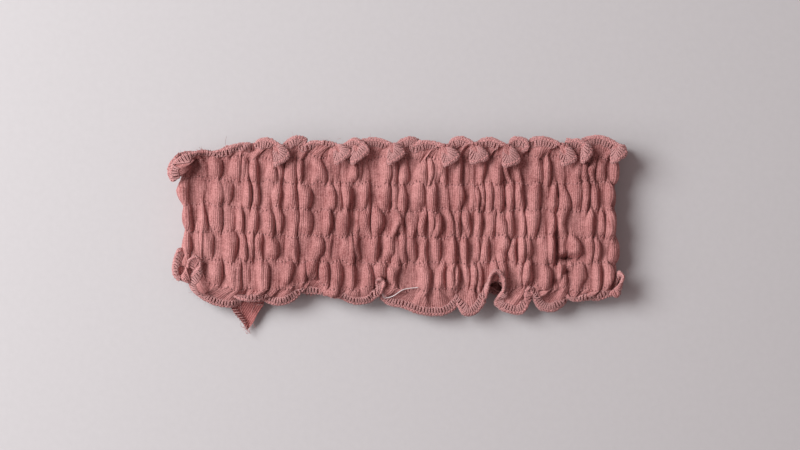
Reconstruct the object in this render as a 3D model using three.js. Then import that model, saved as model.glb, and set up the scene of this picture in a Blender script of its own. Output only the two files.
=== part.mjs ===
// A shirred spa headband, lying flat: one strip of gathered jersey sewn into a loop, six rows of
// elastic shirring round it, overlocked wavy edges, and the seam that closes the loop.
// Millimetres, +Z up. The band lies on z = 0. X runs along the band, Y across it from edge to edge,
// and the hole that the head goes through runs along Y, between the upper and the lower layer.
import * as THREE from "three";
import { mergeVertices } from "three/addons/utils/BufferGeometryUtils.js";

// Driving dimensions
const BAND_WIDTH = 210; // fold to fold, lying flat
const BAND_HEIGHT = 19; // floor to the top of the upper layer's gathers
const LAYER = 5; // depth of one gathered layer
const ROW_COUNT = 6; // rows of elastic shirring
const ROW_PITCH = 12.65; // a half-inch presser foot
const TOP_ROW_Y = 37;
const TOP_EDGE_Y = 45.3; // the strip's cut edges, under the overlock
const BOTTOM_EDGE_Y = -37.35;
const EDGE_FLARE = 5; // how much further than the body the stretched edges reach at each fold
const SCALLOPS = 5; // waves along one layer of an edge
const TOP_SCALLOP = 0.5; // half height of a wave, across the band
const BOTTOM_SCALLOP = 1.6;
const EDGE_RIPPLE = 0.4; // half height of a wave, up and down
const EDGE_DROP = 0.1; // how far the edge's middle lies inside the layer's middle

// The strip near its edges and its shirring rows
const EDGE_CLOTH = 2; // depth of the edge inside the overlock
const THIN_ZONE = 5.2; // how far in from the edge the layer stays thin
const TAPER = 1.2;
const GROOVE_HALF = 1.6; // a shirring row pinches the layer from both faces
const GROOVE_DEEP = 1.4;

// Threads
const GAP = 0.3; // clearance between touching pieces
const ELASTIC_R = 0.35;
const THREAD_R = 0.2;
const LOOPER = 0.8; // depth of the looper threads on a face
const LOOPER_REACH = 4; // how far in from the edge the overlock reaches
const EDGE_NEEDLE_IN = 4.6; // the overlock's needle line, in from the edge
const ELASTIC_INSET = 0.5; // centre of an elastic thread past the inner face
const NEEDLE_INSET = 0.7; // centre of a row's needle thread under the outer face

// The seam that closes the loop, inside the lower layer
const SEAM_X = -74;
const SEAM_HALF = 3; // half width of the two sewn ends, laid over
const SEAM_CLOTH = 1.6;
const SEAM_LIFT = 6.2; // underside of the sewn ends
const SEAM_TOP_Y = 43;
const SEAM_LOOPER = 0.5; // depth of the looper threads round the sewn ends
const SEAM_BITE = 1.6; // the overlock's start, in from the other side of the sewn ends
const SEAM_NEEDLE_IN = 0.8;
const SEAM_THREAD_END = 1; // how far the threads stop short of the tail's neck
const TAIL_NECK_Y = -33; // where the untrimmed corner starts to widen
const TAIL_WIDE_Y = -38.8;
const TAIL_HALF = 8;
const TAIL_TIP_Y = -47;
const TAIL_TIP_HALF = 0.6;
const TAIL_DROP_FROM_Y = -42;
const TAIL_FLOOR = 0.3;

// The loose end of an overlock thread, lying on the upper layer
const LOOSE_R = 0.25;
const LOOSE_STEPS = 16;
const LOOSE_ROUTE = [
  [-8.6, -27.6, BAND_HEIGHT + 0.6],
  [-7.4, -30.2, BAND_HEIGHT + 0.8],
  [-3.4, -29.4, BAND_HEIGHT + 0.9],
  [1.8, -26.2, BAND_HEIGHT + 0.8],
  [8.8, -25.2, BAND_HEIGHT + 0.6],
];

// Cross-section of the loop: two straight layers joined by a half circle at each fold. Everything
// lies at some radius from the straight line between the two fold centres.
const OUTER_R = BAND_HEIGHT / 2;
const INNER_R = OUTER_R - LAYER;
const MIDDLE_R = OUTER_R - LAYER / 2;
const EDGE_R = MIDDLE_R - EDGE_DROP; // middle of the thin edge
const HALF_LINE = BAND_WIDTH / 2 - OUTER_R;
const SEAM_THREADS = SEAM_TOP_Y - TAIL_NECK_Y - SEAM_THREAD_END; // length of the seam's threads
const LAYER_STEPS = 4 * SCALLOPS;
const FOLD_STEPS = 6;
const THREAD_SIDES = 6;

/** Stations round the loop: share is -1 to 1 along the line, and the normal is (nx, nz). */
function loopStations(layerSteps, foldSteps) {
  const stations = [];
  for (const side of [1, -1]) {
    for (let i = 0; i < layerSteps; i++) {
      stations.push({ share: side * ((2 * i) / layerSteps - 1), nx: 0, nz: side, along: i / layerSteps });
    }
    for (let i = 0; i < foldSteps; i++) {
      const turn = (Math.PI * i) / foldSteps;
      stations.push({ share: side, nx: side * Math.sin(turn), nz: side * Math.cos(turn), along: 0 });
    }
  }
  return stations;
}

/** A point of the loop at a station, a radius from the line and a place across the band. */
function loopPoint(station, radius, y, flare = 0) {
  const x = station.share * (HALF_LINE + flare) + station.nx * radius;
  return [x, y, BAND_HEIGHT / 2 + station.nz * radius];
}

/** A skin over a row of sections with the same number of corners; open ends get flat caps. */
function skinGeometry(sections, closed) {
  const corners = sections[0].length;
  const index = [];
  const spans = closed ? sections.length : sections.length - 1;
  for (let i = 0; i < spans; i++) {
    const next = (i + 1) % sections.length;
    for (let j = 0; j < corners; j++) {
      const up = (j + 1) % corners;
      const [a, b, c, d] = [i * corners + j, next * corners + j, next * corners + up, i * corners + up];
      index.push(a, c, b, a, d, c);
    }
  }
  const last = (sections.length - 1) * corners;
  for (let j = 1; j < corners - 1 && !closed; j++) {
    index.push(0, j + 1, j, last, last + j, last + j + 1);
  }
  const geometry = new THREE.BufferGeometry();
  geometry.setAttribute("position", new THREE.Float32BufferAttribute(sections.flat(2), 3));
  geometry.setIndex(index);
  geometry.computeVertexNormals();
  return geometry;
}

/** A closed ring. section(station) gives its corners, anticlockwise with Y right and radius up. */
function ringGeometry(stations, section) {
  const ring = (station) => section(station).map((p) => loopPoint(station, p.radius, p.y, p.flare));
  return skinGeometry(stations.map(ring), true);
}

/** How far the wave along an edge moves a station: across the band (y) and up and down (r). */
function edgeWave(station, scallop) {
  const phase = 2 * Math.PI * SCALLOPS * station.along;
  return { y: scallop * Math.sin(phase), r: EDGE_RIPPLE * Math.sin(phase) };
}

const EDGES = {
  top: { y: TOP_EDGE_Y, out: 1, scallop: TOP_SCALLOP },
  bottom: { y: BOTTOM_EDGE_Y, out: -1, scallop: BOTTOM_SCALLOP },
};

const rowY = (row) => TOP_ROW_Y - row * ROW_PITCH;

/** Section of the strip: up its outer face from bottom to top, and back down its inner face. */
function stripSection(station) {
  const across = [];
  const addEdge = ({ y, out, scallop }) => {
    const wave = edgeWave(station, scallop);
    const thin = { radius: EDGE_R + wave.r, half: EDGE_CLOTH / 2, flare: EDGE_FLARE };
    const full = { radius: MIDDLE_R, half: LAYER / 2, flare: EDGE_FLARE / 2 };
    const stops = [
      { y: y + wave.y, ...thin },
      { y: y - out * THIN_ZONE + wave.y, ...thin },
      { y: y - out * (THIN_ZONE + TAPER), ...full },
    ];
    across.push(...(out > 0 ? stops.reverse() : stops));
  };
  addEdge(EDGES.bottom);
  for (let row = ROW_COUNT - 1; row >= 0; row--) {
    for (const step of [-1, 0, 1]) {
      const half = LAYER / 2 - (step === 0 ? GROOVE_DEEP : 0);
      across.push({ y: rowY(row) + step * GROOVE_HALF, radius: MIDDLE_R, half, flare: 0 });
    }
  }
  addEdge(EDGES.top);
  const outer = across.map((p) => ({ y: p.y, radius: p.radius + p.half, flare: p.flare }));
  const inner = across.map((p) => ({ y: p.y, radius: p.radius - p.half, flare: p.flare }));
  return [...inner, ...outer.reverse()];
}

/** Section of a round thread, centred at a radius and a place across the band. */
function threadSection(y, radius, threadR, flare, sides = THREAD_SIDES) {
  return Array.from({ length: sides }, (_, i) => {
    const turn = (2 * Math.PI * i) / sides;
    return { y: y + threadR * Math.cos(turn), radius: radius + threadR * Math.sin(turn), flare };
  });
}

/** Section of a looper thread layer on one face of an edge; the upper one also wraps the edge. */
function looperSection(station, edge, upper) {
  const wave = edgeWave(station, edge.scallop);
  const face = EDGE_CLOTH / 2 + GAP;
  const [near, far] = upper ? [face, face + LOOPER] : [-face, -face - LOOPER];
  const inY = edge.y - edge.out * LOOPER_REACH;
  const endY = edge.y + edge.out * GAP;
  const lipY = endY + edge.out * LOOPER;
  const lip = -face + GAP; // the wrap stops short of the lower looper thread
  const corners = upper
    ? [[inY, near], [endY, near], [endY, lip], [lipY, lip], [lipY, far], [inY, far]]
    : [[inY, far], [edge.y, far], [edge.y, near], [inY, near]];
  const middle = EDGE_R + wave.r;
  const points = corners.map(([y, r]) => ({ y: y + wave.y, radius: middle + r, flare: EDGE_FLARE }));
  return edge.out > 0 ? points : points.reverse();
}

/** The two sewn ends of the strip laid over inside the loop, and the corner that sticks out. */
function seamClothGeometry() {
  const dropHalf = TAIL_HALF * ((TAIL_DROP_FROM_Y - TAIL_TIP_Y) / (TAIL_WIDE_Y - TAIL_TIP_Y));
  const stops = [
    { y: SEAM_TOP_Y, half: SEAM_HALF, z: SEAM_LIFT },
    { y: TAIL_NECK_Y, half: SEAM_HALF, z: SEAM_LIFT },
    { y: TAIL_WIDE_Y, half: TAIL_HALF, z: SEAM_LIFT },
    { y: TAIL_DROP_FROM_Y, half: dropHalf, z: SEAM_LIFT },
    { y: TAIL_TIP_Y, half: TAIL_TIP_HALF, z: TAIL_FLOOR },
  ];
  const sections = stops.map(({ y, half, z }) => [
    [SEAM_X - half, y, z],
    [SEAM_X + half, y, z],
    [SEAM_X + half, y, z + SEAM_CLOTH],
    [SEAM_X - half, y, z + SEAM_CLOTH],
  ]);
  return skinGeometry(sections, false);
}

/** The overlock round the raw edge of the sewn ends, a U lying on its side. */
function seamLooperGeometry() {
  const shape = new THREE.Shape();
  const [low, high] = [SEAM_LIFT - GAP, SEAM_LIFT + SEAM_CLOTH + GAP];
  const endX = SEAM_X + SEAM_HALF + GAP;
  const startX = SEAM_X - SEAM_HALF + SEAM_BITE;
  shape.moveTo(startX, low - SEAM_LOOPER);
  shape.lineTo(endX + SEAM_LOOPER, low - SEAM_LOOPER);
  shape.lineTo(endX + SEAM_LOOPER, high + SEAM_LOOPER);
  shape.lineTo(startX, high + SEAM_LOOPER);
  shape.lineTo(startX, high);
  shape.lineTo(endX, high);
  shape.lineTo(endX, low);
  shape.lineTo(startX, low);
  shape.closePath();
    const geometry = new THREE.ExtrudeGeometry(shape, { depth: SEAM_THREADS, bevelEnabled: false });
  geometry.rotateX(Math.PI / 2);
  geometry.translate(0, SEAM_TOP_Y, 0);
  return geometry;
}

/** A straight round thread along Y on top of the sewn ends. */
function seamNeedleGeometry() {
    const geometry = new THREE.CylinderGeometry(THREAD_R, THREAD_R, SEAM_THREADS, THREAD_SIDES);
  const z = SEAM_LIFT + SEAM_CLOTH + GAP + THREAD_R;
  geometry.translate(SEAM_X - SEAM_HALF + SEAM_NEEDLE_IN, SEAM_TOP_Y - SEAM_THREADS / 2, z);
  return geometry;
}

function looseThreadGeometry() {
  const route = new THREE.CatmullRomCurve3(LOOSE_ROUTE.map((p) => new THREE.Vector3(...p)));
  const section = new THREE.Shape();
  section.absarc(0, 0, LOOSE_R, 0, 2 * Math.PI, false);
  return new THREE.ExtrudeGeometry(section, { steps: LOOSE_STEPS, curveSegments: 8, extrudePath: route });
}

const cloth = new THREE.MeshStandardMaterial({ color: 0xb97173, roughness: 0.95, metalness: 0 });
const sewing = new THREE.MeshStandardMaterial({ color: 0xcf9a98, roughness: 0.8, metalness: 0 });
const elastic = new THREE.MeshStandardMaterial({ color: 0xc98a8a, roughness: 0.7, metalness: 0 });
const paleThread = new THREE.MeshStandardMaterial({ color: 0xe8cfcb, roughness: 0.7, metalness: 0 });

const headband = new THREE.Group();

function addMesh(name, geometry, material) {
  const bare = geometry.index ? geometry : mergeVertices(geometry);
  const mesh = new THREE.Mesh(bare, material);
  mesh.name = name;
  headband.add(mesh);
}

const waved = loopStations(LAYER_STEPS, FOLD_STEPS);
const plain = loopStations(1, FOLD_STEPS);

addMesh("fabric_strip", ringGeometry(waved, stripSection), cloth);
for (let row = 0; row < ROW_COUNT; row++) {
  const y = rowY(row);
  const elasticSection = () => threadSection(y, INNER_R + ELASTIC_INSET, ELASTIC_R, 0);
  const needleSection = () => threadSection(y, OUTER_R - NEEDLE_INSET, THREAD_R, 0);
  addMesh(`elastic_thread_row_${row + 1}`, ringGeometry(plain, elasticSection), elastic);
  addMesh(`needle_thread_row_${row + 1}`, ringGeometry(plain, needleSection), sewing);
}
for (const [name, edge] of Object.entries(EDGES)) {
  const upperLooper = (station) => looperSection(station, edge, true);
  const lowerLooper = (station) => looperSection(station, edge, false);
  const needleLine = (station) => {
    const wave = edgeWave(station, edge.scallop);
    const radius = EDGE_R + wave.r + EDGE_CLOTH / 2 + GAP + THREAD_R;
    return threadSection(edge.y - edge.out * EDGE_NEEDLE_IN + wave.y, radius, THREAD_R, EDGE_FLARE, 5);
  };
  addMesh(`${name}_edge_upper_looper_thread`, ringGeometry(waved, upperLooper), sewing);
  addMesh(`${name}_edge_lower_looper_thread`, ringGeometry(waved, lowerLooper), sewing);
  addMesh(`${name}_edge_needle_thread`, ringGeometry(waved, needleLine), sewing);
}
addMesh("seam_allowance", seamClothGeometry(), cloth);
addMesh("seam_looper_threads", seamLooperGeometry(), sewing);
addMesh("seam_needle_thread", seamNeedleGeometry(), sewing);
addMesh("loose_thread_end", looseThreadGeometry(), paleThread);

export default headband;
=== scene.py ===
"""A shirred spa headband lying flat, seen from straight above, on a pale floor.

One strip of jersey is gathered on six rows of elastic and sewn into a loop. The strip is laid out
as a grid of points (around the loop by across the band), relaxed by cloth simulation, and the
threads are then sewn along it. Lengths are in millimetres until a mesh is made.
"""
import math

import bpy
import numpy as np
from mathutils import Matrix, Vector
from mathutils.bvhtree import BVHTree


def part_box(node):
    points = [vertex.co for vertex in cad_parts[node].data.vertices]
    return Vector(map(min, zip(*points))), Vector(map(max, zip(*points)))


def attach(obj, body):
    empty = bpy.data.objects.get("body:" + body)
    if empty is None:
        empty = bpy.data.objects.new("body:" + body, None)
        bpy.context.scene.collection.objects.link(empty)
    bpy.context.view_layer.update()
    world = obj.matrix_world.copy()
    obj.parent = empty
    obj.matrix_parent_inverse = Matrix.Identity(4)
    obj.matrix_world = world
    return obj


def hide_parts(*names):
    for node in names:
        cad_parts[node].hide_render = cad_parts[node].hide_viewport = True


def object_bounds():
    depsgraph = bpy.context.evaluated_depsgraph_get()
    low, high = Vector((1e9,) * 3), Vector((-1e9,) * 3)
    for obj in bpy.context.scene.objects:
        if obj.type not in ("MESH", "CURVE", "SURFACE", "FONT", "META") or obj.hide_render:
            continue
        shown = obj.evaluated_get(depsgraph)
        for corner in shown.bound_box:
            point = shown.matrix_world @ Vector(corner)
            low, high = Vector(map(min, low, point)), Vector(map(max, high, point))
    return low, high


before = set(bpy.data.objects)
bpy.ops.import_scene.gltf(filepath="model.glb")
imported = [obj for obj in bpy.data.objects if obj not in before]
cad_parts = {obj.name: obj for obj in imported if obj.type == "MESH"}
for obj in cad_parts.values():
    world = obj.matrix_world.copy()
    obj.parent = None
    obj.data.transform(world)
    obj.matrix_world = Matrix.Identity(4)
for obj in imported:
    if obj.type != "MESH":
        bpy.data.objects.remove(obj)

CAD_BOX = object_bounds()
MM = 0.001

# ---- Sizes taken from the frame ----


def box_mm(node):
    low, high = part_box(node)
    return np.array(low) / MM, np.array(high) / MM


def linked(name, data):
    """A new object in the scene."""
    thing = bpy.data.objects.new(name, data)
    bpy.context.scene.collection.objects.link(thing)
    return thing


def mapped_piece(name, corners, faces, map_name, places):
    """A smooth object of corners in millimetres, with a flat place for each corner of its faces."""
    mesh = bpy.data.meshes.new(name)
    mesh.from_pydata((corners * MM).tolist(), [], faces)
    layer = mesh.uv_layers.new(name=map_name)
    layer.data.foreach_set("uv", places.astype(np.float32).ravel())
    mesh.shade_smooth()
    return linked(name, mesh)


def unit(vectors):
    return vectors / (np.linalg.norm(vectors, axis=-1, keepdims=True) + 1e-9)


def run_of(points):
    """Distance along a line of points, at each of them."""
    return np.concatenate([[0], np.cumsum(np.linalg.norm(np.diff(points, axis=0), axis=1))])


def places_at(wanted, marks, line):
    """Places on a line of points that have rising marks, at the wanted marks."""
    return np.stack([np.interp(wanted, marks, line[:, k]) for k in range(3)], -1)


def row_y(number):
    """Y of a row of shirring, halfway across its needle thread's box."""
    return float(np.mean([corner[1] for corner in box_mm(f"needle_thread_row_{number}")]))


ROW_COUNT = 6
ROW_Y = [row_y(number) for number in range(ROW_COUNT, 0, -1)]  # from the bottom row up
BAND_LOW, BAND_HIGH = box_mm("needle_thread_row_1")
SEAM_LOW, SEAM_HIGH = box_mm("seam_allowance")

# The strip as cut
STRIP_LENGTH = 640.0
STRIP_WIDTH = 87.5
MARGIN = 12.0  # outer row to cut edge, flat
SHIRRED = STRIP_WIDTH - 2 * MARGIN  # bottom row to top row, flat

# The grid of points
AROUND = 1200
STEPS_PER_ROW = 10
MARGIN_STEPS = 14
BOTTOM_ROW = MARGIN_STEPS
TOP_ROW = MARGIN_STEPS + (ROW_COUNT - 1) * STEPS_PER_ROW
TOP_EDGE = TOP_ROW + MARGIN_STEPS
ACROSS = TOP_EDGE + 1

# The loop as it lies: two straight layers joined by a half circle at each fold
FOLD_R = 5.0
FLOOR_TO_LAYER = 3.0
ROW_THREAD_R = 0.2
HALF_LINE = (BAND_HIGH[0] - BAND_LOW[0]) / 2 - FOLD_R - ROW_THREAD_R
LOOP = 4 * HALF_LINE + 2 * math.pi * FOLD_R
UPPER_Z = FLOOR_TO_LAYER + 2 * FOLD_R


def loop_frame(s):
    """Middle surface of the loop at distances s round it: place (x, z) and outward normal (x, z)."""
    s = np.mod(s, LOOP)
    line, arc = 2 * HALF_LINE, math.pi * FOLD_R
    turn_right = np.clip((s - line) / FOLD_R, 0, math.pi)
    turn_left = np.clip((s - 2 * line - arc) / FOLD_R, 0, math.pi)
    turn = turn_right + turn_left
    nx, nz = np.sin(turn), np.cos(turn)
    upper = np.minimum(s, line)
    lower = np.clip(s - line - arc, 0, line)
    x = -HALF_LINE + upper - lower + FOLD_R * nx
    z = FLOOR_TO_LAYER + FOLD_R + FOLD_R * nz
    return x, z, nx, nz


def upper_s(x):
    return x + HALF_LINE


def lower_s(x):
    return 3 * HALF_LINE + math.pi * FOLD_R - x


def from_upper(s, x):
    """Signed distances round the loop from the place X on the upper layer to s."""
    return np.mod(s - upper_s(x) + LOOP / 2, LOOP) - LOOP / 2


def ramp(values, start, reach):
    """0 up to start, and evenly up to 1 over the reach beyond it, which may be negative."""
    return np.clip((values - start) / reach, 0, 1)


# ---- Gathers between the rows ----
RIDGES = 84
RIDGE_HEIGHT = 3.9
VALLEY = -2.1


def ridge_layout(rng):
    """The gathers of each band: centre, half width, height, sway, taper and shift."""
    widths = rng.lognormal(0, 0.42, RIDGES)
    spacing = widths / widths.sum() * LOOP
    centres = np.cumsum(spacing) - spacing / 2
    bands = []
    for _ in range(ROW_COUNT + 1):
        c = centres + rng.normal(0, 1.7, RIDGES)
        half = np.clip(spacing * rng.uniform(0.34, 0.54, RIDGES), 1.3, 3.2)
        height = RIDGE_HEIGHT * rng.uniform(0.66, 1.12, RIDGES)
        height[rng.random(RIDGES) < 0.2] *= 0.3
        bands.append((c, half, height, rng.normal(0, 1.1, RIDGES), rng.normal(0, 0.3, RIDGES),
                      rng.normal(0, 0.2, RIDGES)))
    return bands


def caps_of(ridges, t, s):
    """Height of one band's gathers at distances s, a share t across the band."""
    c, half, height, sway, taper, shift = ridges
    near = np.clip(abs(2 * t - 1 + shift), 0, 1)
    swell = 1 - near**3
    c = c + sway * (1 - near**2)
    half = half * (0.62 + 0.38 * swell) * (1 + taper * (2 * t - 1) * swell)
    q = ((s[:, None] - c[None, :] + LOOP / 2) % LOOP - LOOP / 2) / half
    caps = np.clip(1 - q * q, 0, None) ** 0.6 * height * (0.6 + 0.4 * swell)
    return caps.max(axis=1)


def ridge_heights(bands, band, t, s):
    """Height of the gathers at distances s, a share t across a band (0 and 1 are its rows)."""
    beyond = bands[max(band - 1, 0)] if t < 0.5 else bands[min(band + 1, ROW_COUNT)]
    share = 0.5 * abs(2 * t - 1) ** 3
    return (1 - share) * caps_of(bands[band], t, s) + share * caps_of(beyond, 1 - t, s)


DIMPLE = 0.22  # depth of a needle hole
FLARE = 0.30  # how far a gather's flanks stand out over the creases, for each unit of their slope
STEEPEST = 2.2  # slope beyond which a flank doesn't flare further
LEAN = 0.2  # how far a gather leans round the loop, for each millimetre of its height
ROW_STITCHES = 280


def wander(s, rows_in):
    """How far a row strays from straight, where gathers of uneven height pull at it."""
    turn = 2 * np.pi * s / LOOP
    waves = ((0.55, 37, 1.7), (0.5, 53, 2.9), (0.3, 83, 0.6), (0.45, 11, 2.2))
    return sum(size * np.sin(count * turn + phase * rows_in) for size, count, phase in waves)


# Places on the front layer where the cloth is drawn up: X, row, distance in Y, reach in X
PULLS = [
    (-42, 0, 5.0, 6.5), (-8, 0, 4.2, 4.0), (45.5, 0, 4.6, 4.5), (62, 0, 2.6, 4.0), (-104, 0, 11.0, 11.0),
    (80, 0, 1.4, 4.0), (82, 1, -1.2, 8.0), (-24, 2, 0.7, 6.0), (30, 3, -0.6, 8.0), (-60, 1, 0.7, 9.0),
    (-70, 4, -0.6, 9.0), (5, 5, -0.8, 12.0), (55, 5, 0.6, 12.0), (92, 4, 0.8, 8.0)]
PULL_ROWS = 1.6  # how many rows away a pull or a bulge is still felt

# The inner rows rise towards the left fold
RISE = 3.0
RISE_X = -102
RISE_REACH = 36.0

# A place at the left fold where the cloth stands out: X, row, distance, reach
BULGES = [(-105.5, 3.5, 3.4, 4.5)]


def moved(spots, s, rows_in):
    """How far spots of the cloth are moved, at distances s and so many rows in from the bottom one."""
    shift = np.zeros_like(s)
    for x, row, distance, reach in spots:
        near = np.clip(1 - abs(rows_in - row) / PULL_ROWS, 0, 1) ** 1.5
        shift += distance * near * np.exp(-(from_upper(s, x) / reach) ** 2)
    return shift


def pulled(s, rows_in):
    """How far the cloth is drawn up in Y."""
    inner = np.clip(rows_in / 2, 0, 1) * np.clip(ROW_COUNT - 1 - rows_in, 0, 1)
    rise = RISE * np.exp(-(from_upper(s, RISE_X) / RISE_REACH) ** 2) * inner
    return moved(PULLS, s, rows_in) + rise


EVEN_REACH = 14  # millimetres of the loop within which gathers share their cloth


def even_out(s, h):
    """Distances round the loop of evenly spaced points of the gathered cloth."""
    ds = LOOP / len(s)
    slope = (np.roll(h, -1) - h) / ds
    rate = np.sqrt(1 + slope**2)
    window = int(EVEN_REACH / ds)
    kernel = np.hanning(window) / np.hanning(window).sum()
    padded = np.concatenate([rate[-window:], rate, rate[:window]])
    mean = np.convolve(padded, kernel, "same")[window:-window]
    u = np.concatenate([[0], np.cumsum(rate / mean)])
    u = u / u[-1] * STRIP_LENGTH
    grid = np.arange(AROUND) / AROUND * STRIP_LENGTH
    return np.interp(grid, u, np.concatenate([s, [LOOP]]))


# ---- Edges ----
# Each edge is one closed line of places (X, Y, Z), in groups. A group starts at the distance round
# the loop given first, and inside a group the cloth follows the line at an even rate.


def flap(start, peak, right_tip, low_tip):
    """A scallop of the top edge whose right end folds over towards the front."""
    (x0, y0), (x1, y1), (x2, y2), (x3, y3) = start, peak, right_tip, low_tip
    return (upper_s(x0 - 0.5), [
        (x0, y0, 12.0),
        (x0 + 0.35 * (x1 - x0), y1 - 0.4, 13.0),
        (x1, y1, 14.0),
        (x1 + 0.45 * (x2 - x1), y1 - 0.25 * (y1 - y2), 15.2),
        (x2, y2, 16.0),
        ((x2 + x3) / 2 + 0.4, (y2 + y3) / 2 - 0.5, 16.8),
        (x3, y3, 16.4),
        (x3 + 1.0, y3 + 4.0, 14.4),
        (x3 + 2.5, y3 + 8.0, 11.0),
    ])


TOP_FRONT = [
    (upper_s(-88), [
        (-88.5, 39.7, 12.5), (-82.5, 41.8, 13), (-76.5, 43.5, 13), (-72, 43.5, 13), (-70, 42.5, 12)]),
    flap((-68.5, 44.5), (-64, 46), (-53, 38), (-59.5, 33.5)),
    (upper_s(-54), [(-54.5, 44.5, 11), (-49.5, 47, 12), (-45, 45.5, 11)]),
    flap((-47, 41), (-37.5, 44.5), (-23.5, 39.5), (-30.5, 34)),
    flap((-24, 45), (-22, 46), (-15, 40.5), (-23, 34)),
    flap((-19, 44.5), (-12, 46), (2, 39), (-5.5, 34)),
    (upper_s(0.5), [(0.5, 45, 11), (5, 46.5, 12), (9, 44.5, 11)]),
    flap((5.5, 41), (14.5, 44.5), (28, 37.5), (21, 33)),
    flap((24.5, 45), (29, 46.5), (42, 37), (34, 34.5)),
    flap((39, 45.5), (43.5, 46), (57, 35.5), (49.5, 33)),
    (upper_s(53.5), [
        (53, 45, 12), (56, 46.5, 13), (60, 45.5, 14), (61.5, 42.5, 14), (59, 40, 13), (60, 42, 11)]),
    flap((62, 45), (68.5, 46.5), (84, 36.5), (77.5, 33.5)),
    flap((80, 45.5), (84.5, 45.5), (91.5, 39.5), (87, 34.5)),
    flap((87.5, 45), (95.5, 47), (108, 39), (101, 34.5)),
]
TOP_LEFT_FOLD = (LOOP - 1.2 * math.pi * FOLD_R, [
    (-95.5, 39, 3), (-102, 39.8, 5), (-106.8, 38, 8), (-110.2, 34, 11), (-110.4, 29.5, 14),
    (-108.6, 25.8, 15.5), (-109.4, 30, 16.8), (-107.8, 34.2, 17), (-104, 37.4, 16.2), (-98.5, 39.4, 14.6),
    (-94, 39.5, 13)])
TOP_RIGHT_FOLD = (2 * HALF_LINE + 0.5 * math.pi * FOLD_R, [(108.5, 40, 8.5), (107.5, 43, 4.5)])

BOTTOM_FRONT = [
    (upper_s(-100), [
        (-100.5, -12, 15), (-97.5, -10.5, 16), (-95.5, -13, 15), (-97.5, -17, 13),
        (-100.5, -20.5, 11), (-100.5, -25, 9), (-96, -30, 7.5), (-89, -33.5, 7), (-82, -34.5, 6.5)]),
    (upper_s(-78), [
        (-77.5, -33, 5), (-75.5, -30.5, 5), (-78, -27.5, 8), (-80, -29, 10), (-76.5, -31, 11),
        (-72, -31.5, 11)]),
    (upper_s(-66.5), [
        (-67, -31, 10), (-65.5, -29, 7), (-67.5, -28.5, 6), (-66, -31, 7), (-62, -33, 8),
        (-57.5, -33.5, 8), (-51.5, -31.5, 8.5)]),
    (upper_s(-49), [
        (-48.5, -27.5, 9), (-48, -25.5, 9), (-50, -25, 7.5), (-48, -27, 7), (-42.5, -28, 7),
        (-37.5, -27, 7.5)]),
    (upper_s(-34.5), [
        (-34, -25, 7), (-35, -23, 9.5), (-33, -27, 9), (-28, -30.5, 8), (-21.5, -33, 8),
        (-14.5, -32, 9), (-10, -28, 12)]),
    (upper_s(-9), [
        (-7.5, -23, 15), (-9.5, -21, 16), (-11.5, -22.5, 13), (-9.5, -26.5, 10), (-9, -30.5, 8),
        (-5, -33.5, 7.5), (2, -35, 7.5), (8.5, -37.5, 7.5), (16.5, -38.5, 7.5), (23, -37.5, 8)]),
    (upper_s(27.5), [
        (27.5, -34, 8), (28, -30.5, 6), (26.5, -29.5, 7), (28, -34, 9), (30.5, -38, 9),
        (35.5, -38, 9), (39.2, -34.5, 10), (41.4, -28.5, 12.5), (42.6, -22.5, 15.5)]),
    (upper_s(47), [
        (43.8, -18.6, 17.5), (46, -17.0, 18.5), (48.6, -18.8, 18), (49.9, -22.8, 16), (49, -27.2, 12.5),
        (46.6, -30.4, 9.5), (45.8, -32.6, 8.5), (48.6, -35.5, 8), (53.2, -37.5, 8), (59, -37.5, 8.5)]),
    (upper_s(61.5), [
        (61, -34, 10), (60, -30.5, 12), (60.5, -26.5, 14), (62, -25.5, 14.5), (63.5, -28.5, 12),
        (65, -32.5, 10), (68.5, -36, 8.5), (74, -36.5, 8), (78.5, -33.5, 8)]),
    (upper_s(79), [
        (80, -30, 7), (78, -26.5, 8), (77, -25.5, 10), (79, -29, 10), (83.5, -31.5, 9.5),
        (90, -31, 9), (97, -30.8, 9), (101.8, -27.5, 11)]),
]
BOTTOM_LEFT_FOLD = (LOOP - 0.75 * math.pi * FOLD_R, [
    (-100.5, -14, 5), (-103.5, -8.5, 9), (-106, -7, 11.5), (-108.5, -13, 11), (-108.5, -19, 10),
    (-105.5, -21, 10.5), (-102.5, -17, 13)])
BOTTOM_RIGHT_FOLD = (2 * HALF_LINE + 0.3 * math.pi * FOLD_R, [
    (105.5, -23.5, 13), (106.8, -20, 14.5), (105.2, -18, 13), (103.6, -20.5, 8), (104.5, -26, 4.5)])


def back_edge(rng, edge_y, side, waves):
    """The edge of the lower layer, right to left: waves that lie on the floor, between small loops."""
    groups = []
    width = 2 * (HALF_LINE - 4) / waves
    for wave in range(waves):
        x = HALF_LINE - 4 - wave * width
        out = edge_y + side * rng.uniform(-1.5, 1.0)
        loop_in = edge_y - side * rng.uniform(4.0, 7.5)
        lean = rng.uniform(-0.1, 0.1)
        groups.append((lower_s(x), [
            (x, (out + loop_in) / 2, 2.4),
            (x - 0.18 * width, out - side * 0.8, 1.6),
            (x - (0.42 + lean) * width, out, 1.2),
            (x - 0.68 * width, out - side * 1.0, 1.6),
            (x - 0.86 * width, (out + loop_in) / 2, 3.2),
            (x - 0.88 * width, loop_in, 5.4),
            (x - 0.98 * width, loop_in, 6.0)]))
    return groups


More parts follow.
